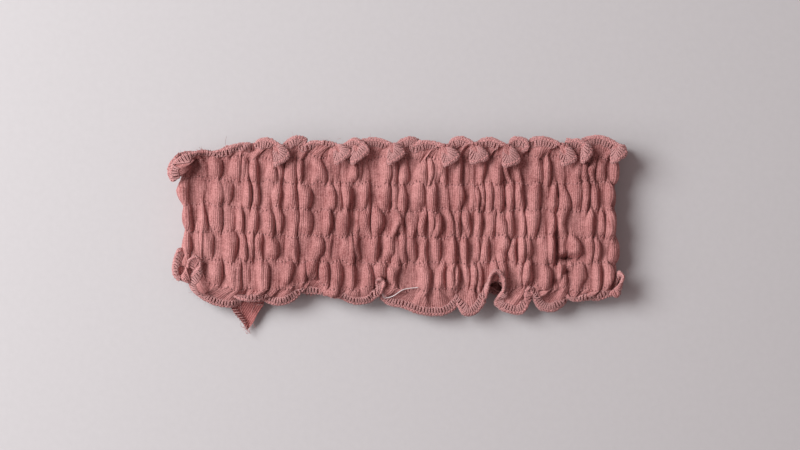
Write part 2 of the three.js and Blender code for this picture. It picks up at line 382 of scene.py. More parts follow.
def closed_curve(points, per_piece=12):
    """Points of a smooth closed curve through the given ones (centripetal Catmull-Rom)."""
    p = np.array(points, float)
    before, after, beyond = np.roll(p, 1, 0), np.roll(p, -1, 0), np.roll(p, -2, 0)
    d0 = np.linalg.norm(p - before, axis=1)[:, None] ** 0.5
    d1 = np.linalg.norm(after - p, axis=1)[:, None] ** 0.5
    d2 = np.linalg.norm(beyond - after, axis=1)[:, None] ** 0.5
    m1 = (p - before) / d0 - (after - before) / (d0 + d1) + (after - p) / d1
    m2 = (after - p) / d1 - (beyond - p) / (d1 + d2) + (beyond - after) / d2
    m1, m2 = m1 * d1, m2 * d1
    out = []
    for t in np.arange(per_piece) / per_piece:
        h00, h10 = 2 * t**3 - 3 * t**2 + 1, t**3 - 2 * t**2 + t
        h01, h11 = -2 * t**3 + 3 * t**2, t**3 - t**2
        out.append(h00 * p + h10 * m1 + h01 * after + h11 * m2)
    return np.stack(out, 1).reshape(-1, 3)


def settle_starts(starts, lengths, reach=4.5):
    """Starts of the groups, moved by up to reach so that the edge is stretched evenly."""
    s = starts.copy()
    for _ in range(300):
        spans = np.append(s[1:], s[0] + LOOP) - s
        rates = lengths / spans
        push = np.roll(rates, 1) - rates
        s = np.clip(s + 0.15 * push, starts - reach, starts + reach)
    return s


def edge_line(groups):
    """Places of the edge's grid points."""
    groups = sorted(groups, key=lambda g: g[0])
    points = [p for _, group in groups for p in group]
    per_piece = 12
    curve = closed_curve(points, per_piece)
    closed = np.concatenate([curve, curve[:1]])
    run = run_of(closed)
    first = np.cumsum([0] + [len(group) for _, group in groups]) * per_piece
    knots_run = run[first]
    starts = settle_starts(np.array([g[0] for g in groups]), np.diff(knots_run))
    knots_s = np.append(starts, starts[0] + LOOP)
    s_at = np.interp(run, knots_run, knots_s)
    wanted = np.arange(AROUND) / AROUND * LOOP
    wanted = knots_s[0] + np.mod(wanted - knots_s[0], LOOP)
    return places_at(wanted, s_at, closed)


# How far a margin that folds over stands out from its row: top and bottom edge, and lower layer
FOLD_PEAK = {1: 6.2, -1: 3.6}
BACK_PEAK = 2.0
# Left of this X, the top margin stands out less far
CORNER_X, CORNER_REACH, CORNER_DROP = -78, 8, 3.4
# Left of this X and above this height, the top margin swings in, down and up on its way to its edge
HOOD_X, HOOD_REACH, HOOD_Z, HOOD_RISE = -96, 4, 12, 3
HOOD_IN, HOOD_DOWN, HOOD_LIFT = 10.0, 5.0, 4.5
STANDING_Z = 12.5  # where the bottom edge is lifted past this height, its margin stands upright
STANDING_DEPTH = 1.0
LYING_Z = 6.5  # an edge below this height lies on the floor, with its margin sagging towards it
OPEN_LIFT = {1: -0.6, -1: 0.3}  # how much an open margin bows up between its row and its edge


def margin_control(row, edge, side):
    """Middle control points of the curves that the margin follows from its row to its edge."""
    peak = np.where(row[:, 2] > FLOOR_TO_LAYER + FOLD_R, FOLD_PEAK[side], BACK_PEAK)
    corner = (side > 0) * ramp(row[:, 0], CORNER_X, -CORNER_REACH) * (row[:, 2] > FOLD_R)
    peak = peak - CORNER_DROP * corner
    out = side * (edge[:, 1] - row[:, 1])
    folded = peak + np.sqrt(np.clip(peak * (peak - out), 0, None))
    open_out = 0.55 * out + (0.45 * peak) * np.clip(1 - (out - peak) / 1.2, 0, 1)
    y = row[:, 1] + side * np.where(out < peak, folded, open_out)
    over = np.clip((peak - out) / 3, 0, 1)
    fold_lift = 1.6 + 1.2 * np.clip((edge[:, 2] - row[:, 2]) / 3, -0.4, 1)
    lift = over * fold_lift + (1 - over) * OPEN_LIFT[side]
    z = np.where(edge[:, 2] > LYING_Z, 1, -0.3) * lift + (row[:, 2] + edge[:, 2]) / 2
    hood = (side > 0) * ramp(row[:, 0], HOOD_X, -HOOD_REACH) * ramp(edge[:, 2], HOOD_Z, HOOD_RISE)
    y = y * (1 - hood) + (row[:, 1] - HOOD_DOWN) * hood
    control = np.stack([(row[:, 0] + edge[:, 0]) / 2 + HOOD_IN * hood, y, z + HOOD_LIFT * hood], 1)
    under_edge = np.stack([edge[:, 0], edge[:, 1], row[:, 2] - STANDING_DEPTH], 1)
    standing = ramp(edge[:, 2], STANDING_Z, 2)[:, None] * (side < 0)
    return control * (1 - standing) + under_edge * standing


# Hollows pressed into the front layer: X, Y, half width in X and in Y, depth
DENTS = [
    (81.6, -11.3, 5.0, 1.3, 8.6), (79.8, -8.0, 5.0, 1.8, -1.3), (75.2, -6, 1.0, 17, 3.6),
    (79.5, -18.2, 2.4, 1.1, 3.6), (75.2, -22.6, 2.4, 1.3, 3.6), (-70.3, 41.3, 1.5, 1.6, 2.6),
    (-37.5, 42, 5.0, 2.4, 1.6), (14, 41.5, 5.0, 2.4, 1.6), (-96, 2, 1.0, 14, 1.2),
    (-22, 12, 1.1, 9, 1.4), (36, 4, 1.0, 16, 1.3), (-9.5, -22, 3.2, 1.4, 2.2),
    (-41, -21.5, 4.5, 1.0, 2.0)]


def dent_depth(x, y):
    """How far the front layer is pressed down at places."""
    return sum(depth * np.exp(-((x - at_x) / half_x) ** 2 - ((y - at_y) / half_y) ** 2)
               for at_x, at_y, half_x, half_y, depth in DENTS)


def band_at(j):
    """Band of gathers that a column of the grid is in, its share across that band, and its Y."""
    rows_in = (j - BOTTOM_ROW) / STEPS_PER_ROW
    if rows_in < 0:
        return 0, 0.5 + 0.5 * (1 + rows_in * STEPS_PER_ROW / MARGIN_STEPS), ROW_Y[0]
    if rows_in > ROW_COUNT - 1:
        return ROW_COUNT, 0.5 * (j - TOP_ROW) / MARGIN_STEPS, ROW_Y[-1]
    band = min(int(rows_in), ROW_COUNT - 2) + 1
    return band, rows_in - (band - 1), np.interp(rows_in, range(ROW_COUNT), ROW_Y)


def gathered_column(bands, j):
    """Places of one column of the grid, round the whole loop."""
    rows_in = (j - BOTTOM_ROW) / STEPS_PER_ROW
    band, t, y = band_at(j)
    fine = np.arange(4 * AROUND) / (4 * AROUND) * LOOP
    h_fine = ridge_heights(bands, band, t, fine)
    s = even_out(fine, h_fine)
    h = np.interp(s, np.concatenate([fine, [LOOP]]), np.concatenate([h_fine, h_fine[:1]]))
    from_row = min(abs(rows_in - round(rows_in)) * STEPS_PER_ROW, 3)
    hole = np.cos(2 * np.pi * ROW_STITCHES * np.arange(AROUND) / AROUND)
    h = h - DIMPLE * np.clip(hole, -0.2, 1) * max(1 - from_row / 1.6, 0)
    y = y + wander(s, rows_in) + pulled(s, rows_in)
    slope = (np.roll(h, -1) - np.roll(h, 1)) / np.mod(np.roll(s, -1) - np.roll(s, 1), LOOP)
    crowd = -FLARE * np.clip(slope, -STEEPEST, STEEPEST) + LEAN * h
    crowd = np.convolve(np.pad(crowd, 2, mode="wrap"), np.ones(5) / 5, "valid")
    x, z, nx, nz = loop_frame(s + crowd)
    out = h + VALLEY + moved(BULGES, s, rows_in)
    return np.stack([x + nx * out, np.full(AROUND, y), z + nz * out], 1)


def lay_margin(grid, groups, row, edge, side):
    """Bend one margin of the grid from its row out to its edge's line."""
    line = edge_line(groups)
    start = grid[:, row].copy()
    control = margin_control(start, line, side)
    for j in range(min(row, edge), max(row, edge) + 1):
        t = abs(j - row) / MARGIN_STEPS
        soft = (grid[:, j] - start) * (1 - t) ** 1.2 if j != row else 0
        grid[:, j] = start * (1 - t) ** 2 + 2 * t * (1 - t) * control + t**2 * line + soft


BACK_TOP_Y, BACK_TOP_WAVES = 40.6, 11
BACK_BOTTOM_Y, BACK_BOTTOM_WAVES = -27.5, 9


def strip_grid():
    """Places (AROUND, ACROSS, 3) of the strip before it is relaxed."""
    bands = ridge_layout(np.random.default_rng(11))
    grid = np.stack([gathered_column(bands, j) for j in range(ACROSS)], 1)
    rng = np.random.default_rng(5)
    top = TOP_FRONT + [TOP_LEFT_FOLD, TOP_RIGHT_FOLD]
    top += back_edge(rng, BACK_TOP_Y, 1, BACK_TOP_WAVES)
    bottom = BOTTOM_FRONT + [BOTTOM_LEFT_FOLD, BOTTOM_RIGHT_FOLD]
    bottom += back_edge(rng, BACK_BOTTOM_Y, -1, BACK_BOTTOM_WAVES)
    lay_margin(grid, bottom, BOTTOM_ROW, 0, -1)
    lay_margin(grid, top, TOP_ROW, TOP_EDGE, 1)
    front = grid[:int(upper_s(HALF_LINE) / LOOP * AROUND)]
    front[..., 2] -= dent_depth(front[..., 0], front[..., 1])
    return grid


CLOTH_FRAMES = 4
CLOTH_SHARE = 0.12  # how much of the simulation's result is blended in
SIM_SCALE = 20.0 * MM
EDGE_HOLD = 0.9
STIFF = 40
BEND = 1.0
PRESSURE = 2.0
V_SLACK = 0.2  # spare cloth between the rows
SHRINK = 0.30  # how much the elastic draws in its row, and how far to either side
SHRINK_REACH = 2.6


def flat_v(steps):
    """Distances up from the bottom edge of the flat strip, at steps across the grid."""
    return np.interp(steps, [0, BOTTOM_ROW, TOP_ROW, TOP_EDGE], [0, MARGIN, MARGIN + SHIRRED, STRIP_WIDTH])


def relax(grid):
    """Cloth simulation: the strip keeps its cut size, shrunk only along its rows of elastic."""
    v = flat_v(np.arange(ACROSS)) - MARGIN
    pitch = SHIRRED / (ROW_COUNT - 1)
    to_row = np.min([abs(v - r * pitch) for r in range(ROW_COUNT)], axis=0)
    tight = np.clip(1 - (to_row / SHRINK_REACH) ** 2, 0, 1)
    keep = 1 - SHRINK * tight
    slack = 1 + V_SLACK * (1 - np.clip(tight[1:] + tight[:-1], 0, 1))
    rest_v = np.concatenate([[0], np.cumsum(np.diff(v) * slack / np.sqrt(keep[1:] * keep[:-1]))])
    turn = 2 * np.pi * np.arange(AROUND) / AROUND
    radius = STRIP_LENGTH / (2 * np.pi)
    ring = np.stack([radius * np.cos(turn), radius * np.sin(turn)], 1)
    rest = np.zeros_like(grid)
    rest[..., :2] = ring[:, None]
    rest[..., 2] = rest_v
    mesh = bpy.data.meshes.new("relaxing")
    mesh.from_pydata((grid * SIM_SCALE).reshape(-1, 3).tolist(), [], grid_faces())
    piece = linked("relaxing", mesh)
    piece.shape_key_add(name="Basis")
    key = piece.shape_key_add(name="flat")
    key.data.foreach_set("co", (rest * SIM_SCALE).reshape(-1).astype(np.float32))
    index = np.arange(AROUND * ACROSS).reshape(AROUND, ACROSS)
    shrink = piece.vertex_groups.new(name="shrink")
    weights = np.round(tight, 2)
    for weight in np.unique(weights[weights > 0]):
        shrink.add(index[:, weights == weight].ravel().tolist(), float(weight), "REPLACE")
    held = piece.vertex_groups.new(name="held")
    rows = [row_step(row) for row in range(ROW_COUNT)]
    held.add(index[:, rows].ravel().tolist(), 1.0, "REPLACE")
    held.add(index[:, [0, TOP_EDGE]].ravel().tolist(), EDGE_HOLD, "REPLACE")
    cloth = piece.modifiers.new("Cloth", "CLOTH")
    c = cloth.settings
    c.quality, c.mass = 4, 0.3
    c.tension_stiffness = c.compression_stiffness = STIFF
    c.shear_stiffness, c.bending_model, c.bending_stiffness = 10, "ANGULAR", BEND
    c.tension_damping = c.compression_damping = 20
    c.shear_damping, c.bending_damping, c.air_damping = 10, 1, 3
    c.rest_shape_key = key
    c.shrink_min, c.shrink_max, c.vertex_group_shrink = 0, SHRINK, "shrink"
    c.vertex_group_mass, c.pin_stiffness = "held", 1
    c.effector_weights.gravity = 0
    c.use_pressure, c.uniform_pressure_force = True, PRESSURE
    cloth.collision_settings.use_collision = False
    cloth.collision_settings.use_self_collision = False
    cloth.point_cache.frame_start, cloth.point_cache.frame_end = 1, CLOTH_FRAMES + 1
    scene = bpy.context.scene
    for number in range(1, CLOTH_FRAMES + 2):
        scene.frame_set(number)
    evaluated = piece.evaluated_get(bpy.context.evaluated_depsgraph_get())
    done = evaluated.to_mesh()
    flat = np.zeros(len(done.vertices) * 3, np.float32)
    done.vertices.foreach_get("co", flat)
    evaluated.to_mesh_clear()
    bpy.data.objects.remove(piece)
    bpy.data.meshes.remove(mesh)
    scene.frame_set(1)
    return flat.reshape(AROUND, ACROSS, 3).astype(float) / SIM_SCALE


def grid_faces():
    """Faces of the strip's grid, which is closed round the loop and open at its two edges."""
    index = np.arange(AROUND * ACROSS).reshape(AROUND, ACROSS)
    after = np.roll(index, -1, 0)
    faces = np.stack([index[:, :-1], after[:, :-1], after[:, 1:], index[:, 1:]], -1)
    return faces.reshape(-1, 4).tolist()


# ---- Places on the strip ----


def at(values, i, j):
    """Values of a grid at fractional steps i round the loop and j across the band."""
    low_i, low_j = np.floor(i).astype(int), np.clip(np.floor(j).astype(int), 0, values.shape[1] - 2)
    part_i, part_j = (i - low_i)[:, None], (j - low_j)[:, None]
    near, far = low_i % AROUND, (low_i + 1) % AROUND
    first = values[near, low_j] * (1 - part_i) + values[far, low_j] * part_i
    second = values[near, low_j + 1] * (1 - part_i) + values[far, low_j + 1] * part_i
    return first * (1 - part_j) + second * part_j


def outward(places):
    """Outward normals at the grid's points, smoothed a little round the loop."""
    around = np.roll(places, -1, 0) - np.roll(places, 1, 0)
    normal = unit(np.cross(around, np.gradient(places, axis=1)))
    return unit(sum(np.roll(normal, k, 0) for k in range(-2, 3)))


# ---- Threads ----


def tube(points, radius, sides=6):
    """Corners (points, sides, 3) of a tube whose rings turn as little as possible."""
    tangent = unit(np.gradient(points, axis=0))
    ups = []
    up = Vector((0.31, 0.2, 0.93))
    for direction in tangent.tolist():
        along = Vector(direction)
        up = (up - along * up.dot(along)).normalized()
        ups.append(tuple(up))
    ups = np.array(ups)
    aside = np.cross(tangent, ups)
    angle = 2 * np.pi * np.arange(sides) / sides
    ring = np.cos(angle)[None, :, None] * aside[:, None] + np.sin(angle)[None, :, None] * ups[:, None]
    radius = np.broadcast_to(radius, len(points))[:, None, None]
    corners = points[:, None] + ring * radius
    corners[..., 2] = np.maximum(corners[..., 2], 0.02 * (1 + ring[..., 2]))  # above the floor
    return corners


def thread_object(name, runs, sides=6):
    """One object made of tubes, each given as points and radii, mapped along and round it."""
    corners, faces, uvs, first = [], [], [], 0
    for points, radius in runs:
        rings = tube(points, radius, sides)
        count = len(points)
        index = first + np.arange(count * sides).reshape(count, sides)
        turned = np.roll(index, -1, 1)
        quads = np.stack([index[:-1], turned[:-1], turned[1:], index[1:]], -1).reshape(-1, 4)
        length = run_of(points)
        u0, v0 = np.meshgrid(length[:-1], np.arange(sides) / sides, indexing="ij")
        u1 = np.meshgrid(length[1:], np.arange(sides), indexing="ij")[0]
        v1 = v0 + 1 / sides
        around = [np.stack(corner, -1) for corner in ((u0, v0), (u0, v1), (u1, v1), (u1, v0))]
        uvs.append(np.stack(around, 2).reshape(-1, 2))
        corners.append(rings.reshape(-1, 3))
        faces += quads.tolist()
        faces += [index[0, ::-1].tolist(), index[-1].tolist()]
        uvs.append(np.zeros((2 * sides, 2)))
        first += count * sides
    return mapped_piece(name, np.concatenate(corners), faces, "Thread", np.concatenate(uvs))


OVERLOCK_PITCH = 1.57
OVERLOCK_BITE = 3.9  # needle line to the cut edge
# First half of a looper's stitch: share of the pitch, distance in from the edge, height, radius
HALF_STITCH = [
    (0.36, 3.90, 0.10, 0.22), (0.36, 3.55, 0.42, 0.24), (0.35, 2.70, 0.58, 0.26),
    (0.34, 1.95, 0.70, 0.27), (0.30, 1.30, 0.66, 0.28), (0.27, 0.50, 0.54, 0.33),
    (0.25, -0.10, 0.45, 0.42), (0.32, -0.45, 0.10, 0.38)]
LOOPER_STITCH = HALF_STITCH + [(0.50, -0.55, -0.05, 0.36)]
LOOPER_STITCH += [(1 - share, *rest) for share, *rest in HALF_STITCH[::-1]]
# One stitch of the needle thread: share of the pitch and height
NEEDLE_STITCH = [(0.0, -0.30), (0.12, 0.30), (0.35, 0.44), (0.65, 0.44), (0.88, 0.30)]

# Depths in from an edge that steps_in looks up
DEEPEST = 9.0
DEPTH_STEP = 0.25


def steps_in(places, edge_step):
    """A function from steps round the loop and distances in from an edge to steps across the band."""
    inward = 1 if edge_step == 0 else -1
    columns = places[:, :MARGIN_STEPS + 1] if inward == 1 else places[:, :-MARGIN_STEPS - 2:-1]
    gaps = np.linalg.norm(np.diff(columns, axis=1), axis=2)
    run = np.concatenate([np.zeros((AROUND, 1)), np.cumsum(gaps, axis=1)], 1)
    depths = np.arange(0, DEEPEST, DEPTH_STEP)
    table = np.array([np.interp(depths, r, np.arange(MARGIN_STEPS + 1)) for r in run])
    table = sum(np.roll(table, k, 0) for k in range(-3, 4)) / 7

    def steps(i, depth):
        d = np.clip(depth, 0, DEEPEST - 2 * DEPTH_STEP) / DEPTH_STEP
        inside = at(table[..., None], i, d)[:, 0]
        slope = table[np.floor(i).astype(int) % AROUND, 1] / DEPTH_STEP
        return edge_step + inward * np.where(depth < 0, depth * slope, inside)
    return steps


STEEPEST_SLANT = 1.8


def slant_in(places, edge_step):
    """How far the cloth's columns lean along an edge, as distance along it for each distance in."""
    inside = places[:, 2] if edge_step == 0 else places[:, -3]
    edge = places[:, edge_step]
    along = unit(np.roll(edge, -2, 0) - np.roll(edge, 2, 0))
    inward = inside - edge
    forward = (inward * along).sum(1)
    square = np.sqrt(np.clip((inward**2).sum(1) - forward**2, 1e-6, None))
    slant = np.clip(forward / square, -STEEPEST_SLANT, STEEPEST_SLANT)
    return sum(np.roll(slant, k) for k in range(-4, 5)) / 9


def edge_stitches(places, edge_step):
    """Number of stitches along an edge, and a function from stitches to steps round the loop."""
    edge = places[:, edge_step]
    run = run_of(np.concatenate([edge, edge[:1]]))
    count = round(run[-1] / OVERLOCK_PITCH)
    return count, lambda stitches: np.interp(stitches / count * run[-1], run, np.arange(AROUND + 1))


def overlock(name, places, normals, edge_step, rng):
    """The three threads of an overlocked edge, sewn over the edge of the strip."""
    count, steps = edge_stitches(places, edge_step)
    across = steps_in(places, edge_step)
    lean = np.append(slant_in(places, edge_step), 0)
    lean[-1] = lean[0]
    pieces = []

    def sewn(along, reach):
        """Steps round the loop and across the band of places square in from the edge."""
        slant = np.interp(steps(along), np.arange(AROUND + 1), lean)
        inside = np.clip(reach, 0, None)
        i = steps(np.clip(along - slant * inside / OVERLOCK_PITCH, 0, count - 0.01))
        return i, across(i, np.where(reach > 0, reach * np.sqrt(1 + slant**2), reach))

    def each(values):
        return np.repeat(values, len(LOOPER_STITCH))

    shares, depths, heights, radii = np.tile(LOOPER_STITCH, (count, 1)).T
    for looper, face, shift in (("upper", 1, 0.0), ("lower", -1, 0.5)):
        along = each(np.arange(count)) + shares + shift + each(rng.normal(0, 0.05, count))
        reach = depths + each(rng.normal(0, 0.12, count))
        height = heights * each(rng.uniform(0.85, 1.15, count))
        radius = radii * each(rng.uniform(0.88, 1.12, count))
        i, j = sewn(np.clip(along, 0, count - 0.01), reach)
        points = at(places, i, j) + face * at(normals, i, j) * height[:, None]
        runs = [(points, radius)]
        if looper == "lower":
            knots = np.arange(4 * count) / 4
            knot_i, knot_j = sewn(knots, np.full(len(knots), 0.5))
            over = 0.30 + 0.10 * np.cos(2 * np.pi * knots)
            chain = at(places, knot_i, knot_j) + at(normals, knot_i, knot_j) * over[:, None]
            runs.append((chain, 0.58 + 0.16 * np.cos(2 * np.pi * knots)))
        pieces.append(thread_object(f"{name}_{looper}_looper_stitches", runs))
    stitch = np.array(NEEDLE_STITCH)
    along = (np.arange(count)[:, None] + stitch[None, :, 0]).ravel()
    height = np.tile(stitch[:, 1], count)
    i, j = sewn(along, np.full(len(along), OVERLOCK_BITE - 0.25))
    points = at(places, i, j) + at(normals, i, j) * height[:, None]
    pieces.append(thread_object(f"{name}_needle_stitches", [(points, 0.16)], sides=5))
    return pieces


# One stitch of a row: share of the pitch and height
ROW_STITCH = [(0.0, -0.5), (0.14, -0.05), (0.28, 0.14), (0.5, 0.2), (0.72, 0.14), (0.86, -0.05)]


def row_step(row):
    return BOTTOM_ROW + row * STEPS_PER_ROW


def row_thread(name, places, normals, row, rng):
    """Lockstitch along one row: the thread shows between needle holes and dives at each."""
    stitch = np.array(ROW_STITCH)
    share = np.arange(ROW_STITCHES)[:, None] + stitch[None, :, 0]
    i = (share * AROUND / ROW_STITCHES).ravel()
    j = np.full(len(i), float(row_step(row)))
    j += np.repeat(rng.normal(0, 0.04, ROW_STITCHES), len(stitch))
    sunk = np.repeat(rng.uniform(0, 0.35, ROW_STITCHES), len(stitch))
    height = np.tile(stitch[:, 1], ROW_STITCHES) - sunk
    points = at(places, i, j) + at(normals, i, j) * height[:, None]
    return thread_object(name, [(points, 0.19)])


def elastic_thread(name, row):
    """Elastic on the inside of a row, pulled straight, so it keeps to the middle surface."""
    s = np.arange(0, LOOP + 1.5, 1.2)
    x, z, nx, nz = loop_frame(s)
    inside = VALLEY - 0.75 + 0.12 * np.sin(s * 2.9 + row)
    y = ROW_Y[row] + wander(s, row) + pulled(s, row)
    z = z - 0.6 * np.maximum(dent_depth(x, y), 0) * (nz > 0)
    points = np.stack([x + nx * inside, y, z + nz * inside], 1)
    return thread_object(name, [(points, 0.36)])


# ---- Seam ----
SEAM_X = (SEAM_LOW[0] + SEAM_HIGH[0]) / 2
SEAM_TOP_Y = SEAM_HIGH[1]
SEAM_TIP_Y = SEAM_LOW[1] + 0.6
SEAM_CORNER_Y = SEAM_TIP_Y + 12.0
SEAM_HALF = 8.0
SEAM_REST_Z = FLOOR_TO_LAYER + 2.6
SEAM_ALONG = 150
SEAM_ACROSS = 30
SEAM_GRAIN = -33  # degrees that its knit is turned by
SEAM_BITE = 3.2
SEAM_FRAYS = 16
# One overlock stitch of the seam: share of the bite in from the edge, and height
SEAM_STITCH = [(1, 0.05), (0.7, 0.4), (0.3, 0.45), (-0.08, 0.1), (0.3, -0.35), (0.9, -0.2)]


def seam_grid():
    """Places (along, across) of the seam allowance, from the top edge down to its loose corner."""
    b = np.linspace(0, 1, SEAM_ALONG)[:, None]
    a = np.linspace(-1, 1, SEAM_ACROSS)[None, :]
    y = SEAM_TOP_Y + (SEAM_TIP_Y - SEAM_TOP_Y) * b
    half = SEAM_HALF * np.clip((y - SEAM_TIP_Y) / (SEAM_CORNER_Y - SEAM_TIP_Y), 0.02, 1)
    out = ramp(y, SEAM_CORNER_Y + 3, -9)
    fall = out * out * (3 - 2 * out)
    ripple = 0.5 * np.sin(y * 0.9 + 1.5 * a) * (1 - fall)
    curl = 1.1 * a**2 * fall * ramp(y, SEAM_TIP_Y, 8) + 0.45 * np.sin(3 * a + y * 0.5) * fall
    z = SEAM_REST_Z * (1 - fall) + 3.0 * fall + ripple + curl
    x = SEAM_X + a * half + 0.35 * np.sin(y * 0.55)
    return np.stack(np.broadcast_arrays(x, y, np.maximum(z, 0.35)), -1)


def seam_cloth(places):
    along, across, _ = places.shape
    index = np.arange(along * across).reshape(along, across)
    faces = np.stack([index[:-1, :-1], index[:-1, 1:], index[1:, 1:], index[1:, :-1]], -1).reshape(-1, 4)
    turn = math.radians(SEAM_GRAIN)
    x, y = places[..., 0].ravel(), places[..., 1].ravel()
    knit = np.stack([x * math.cos(turn) + y * math.sin(turn), y * math.cos(turn) - x * math.sin(turn)], 1)
    return mapped_piece("seam_cloth", places.reshape(-1, 3), faces.tolist(), "Knit", knit[faces.ravel()])


def seam_threads(places, rng):
    """Overlocking along the seam allowance's two long edges, its needle lines, and the frayed corner."""
    normal = np.array([0, 0, 1.0])
    loopers, needles = [], []
    # Each edge: its column, the column of its needle line, and how many stitches have come loose
    for column, needle_column, undone in ((0, int(0.3 * SEAM_ACROSS), 0),
                                          (SEAM_ACROSS - 1, int(0.7 * SEAM_ACROSS), 7)):
        edge = places[:, column]
        run = run_of(edge)
        count = int((run[-1] - 3) / OVERLOCK_PITCH)
        centre = places[:, SEAM_ACROSS // 2]
        for k in range(count - undone):
            wanted = (k + 0.5) * OVERLOCK_PITCH
            here = places_at(wanted, run, edge)
            inward = places_at(wanted, run, centre) - here
            bite = min(SEAM_BITE, 0.8 * np.linalg.norm(inward))
            lean = np.array([0, rng.normal(0, 0.15), 0])
            points = [here + unit(inward) * (bite * t) + normal * h + lean * t for t, h in SEAM_STITCH]
            loopers.append((np.array(points), 0.24))
        share = np.linspace(0, 1, 2 * count)
        line = places_at(share * run[-1] * 0.9, run, places[:, needle_column])
        line[:, 2] += np.where(np.arange(2 * count) % 2, 0.3, -0.2)
        needles.append((line, 0.15))
    tip = places[-1, SEAM_ACROSS // 2]
    for _ in range(SEAM_FRAYS):
        start = tip + rng.normal(0, 1, 3) * (1.3, 1.2, 0.15) + (0, 1.2, 0)
        heading = rng.uniform(-2.4, -0.6)
        reach = rng.uniform(1.2, 3.2)
        bend = rng.normal(0, 0.8)
        t = np.linspace(0, 1, 7)
        points = np.stack([
            start[0] + reach * t * np.cos(heading + bend * t),
            start[1] + reach * t * np.sin(heading + bend * t),
            np.maximum(start[2] + 0.5 * np.sin(3 * t) * rng.uniform(0.2, 1), 0.2)], 1)
        points[:, 1] = np.maximum(points[:, 1], SEAM_LOW[1] - 0.8)
        loopers.append((points, 0.13 * (1 - 0.5 * t)))
    return (thread_object("seam_looper_stitches", loopers, sides=5),
            thread_object("seam_needle_stitches", needles, sides=5))


# ---- Loose ends and fuzz ----
LOOSE_ROUTE = [(-8.6, -27.6), (-7.4, -30.2), (-3.4, -29.4), (1.8, -26.2), (8.8, -25.2)]


def smooth_open(points, per_piece=10):
    """Points of a smooth open curve through the given ones."""
    p = np.array(points, float)
    p = np.vstack([2 * p[0] - p[1], p, 2 * p[-1] - p[-2]])
    t = np.arange(per_piece)[:, None] / per_piece
    pieces = [0.5 * (2 * b + (c - a) * t + (2 * a - 5 * b + 4 * c - d) * t**2
                     + (3 * b - a - 3 * c + d) * t**3)
              for a, b, c, d in zip(p, p[1:], p[2:], p[3:])]
    return np.vstack(pieces + [p[-2:-1]])


def top_height(tree, x, y):
    """Height of the cloth seen from above at a place."""
    hit = tree.ray_cast(Vector((x * MM, y * MM, 1.0)), Vector((0, 0, -1)))[0]
    return hit.z / MM if hit else 0.0


def loose_thread(tree):
    route = smooth_open(LOOSE_ROUTE)
    height = np.array([top_height(tree, x, y) for x, y in route])
    reach = 4
    window = 2 * reach + 1
    padded = np.pad(height, reach, mode="edge")
    highest = np.array([padded[k:k + window].max() for k in range(len(height))])
    lying = np.convolve(np.pad(highest, reach, mode="edge"), np.ones(window) / window, "valid")
    points = np.column_stack([route, lying + 0.35])
    return thread_object("loose_thread", [(points, np.linspace(0.26, 0.2, len(points)))], sides=8)


FIBRES = 2600  # of fuzz
FIBRE_R = 0.035

# Ends of sewing thread left at the edges: X, Y, Z, length, direction
STRAY_ENDS = [(-83.4, 42.5, 13, 4.6, 1.75), (-95.5, 39.8, 12, 2.6, 1.2), (-95.0, 40.2, 12, 2.2, 2.0),
              (-94.6, 39.9, 12.5, 2.4, 0.6), (-95.8, 40.0, 12.5, 2.0, 2.6), (-94.2, 40.4, 12, 1.8, 1.5),
              (109.5, -18.6, 13.5, 2.2, 1.9), (57, 45.8, 14, 2.0, 1.3), (-30, 45.5, 12, 1.8, 1.0)]


def fibre(start, direction, length, curl, rng):
    t = np.linspace(0, 1, 5)[:, None]
    aside = rng.normal(0, 1, 3)
    return start + direction * length * t + aside * curl * length * t**2


def fuzz(places, normals, rng):
    """Short fibres that stand off the cloth, more of them along the edges."""
    runs = []
    for _ in range(FIBRES):
        near_edge = rng.random() < 0.55
        depth = rng.uniform(-0.4, 3.0) if near_edge else rng.uniform(3, ACROSS / 2)
        j = np.array([depth if rng.random() < 0.5 else TOP_EDGE - depth])
        i = np.array([rng.uniform(0, AROUND)])
        start = at(places, i, j)[0]
        normal = at(normals, i, j)[0]
        direction = normal + rng.normal(0, 0.7, 3)
        direction /= np.linalg.norm(direction)
        length = rng.uniform(0.8, 2.2) if near_edge else rng.uniform(0.5, 1.3)
        lift = 0.6 if near_edge else 0.0
        points = fibre(start + normal * lift, direction, length, 0.45, rng)
        points[:, 2] = np.maximum(points[:, 2], 0.1)
        runs.append((points, FIBRE_R))
    for x, y, z, reach, heading in STRAY_ENDS:
        t = np.linspace(0, 1, 9)
        turn = heading + rng.normal(0, 0.9) * t
        points = np.stack([x + reach * t * np.cos(turn), y + reach * t * np.sin(turn),
                           z + 0.8 * np.sin(3 * t)], 1)
        runs.append((points, 0.07))
    return thread_object("fuzz", runs, sides=3)


# ---- Materials ----
WALES = 656  # ribs of the knit round the strip
WALE = STRIP_LENGTH / WALES
COURSE = 0.62


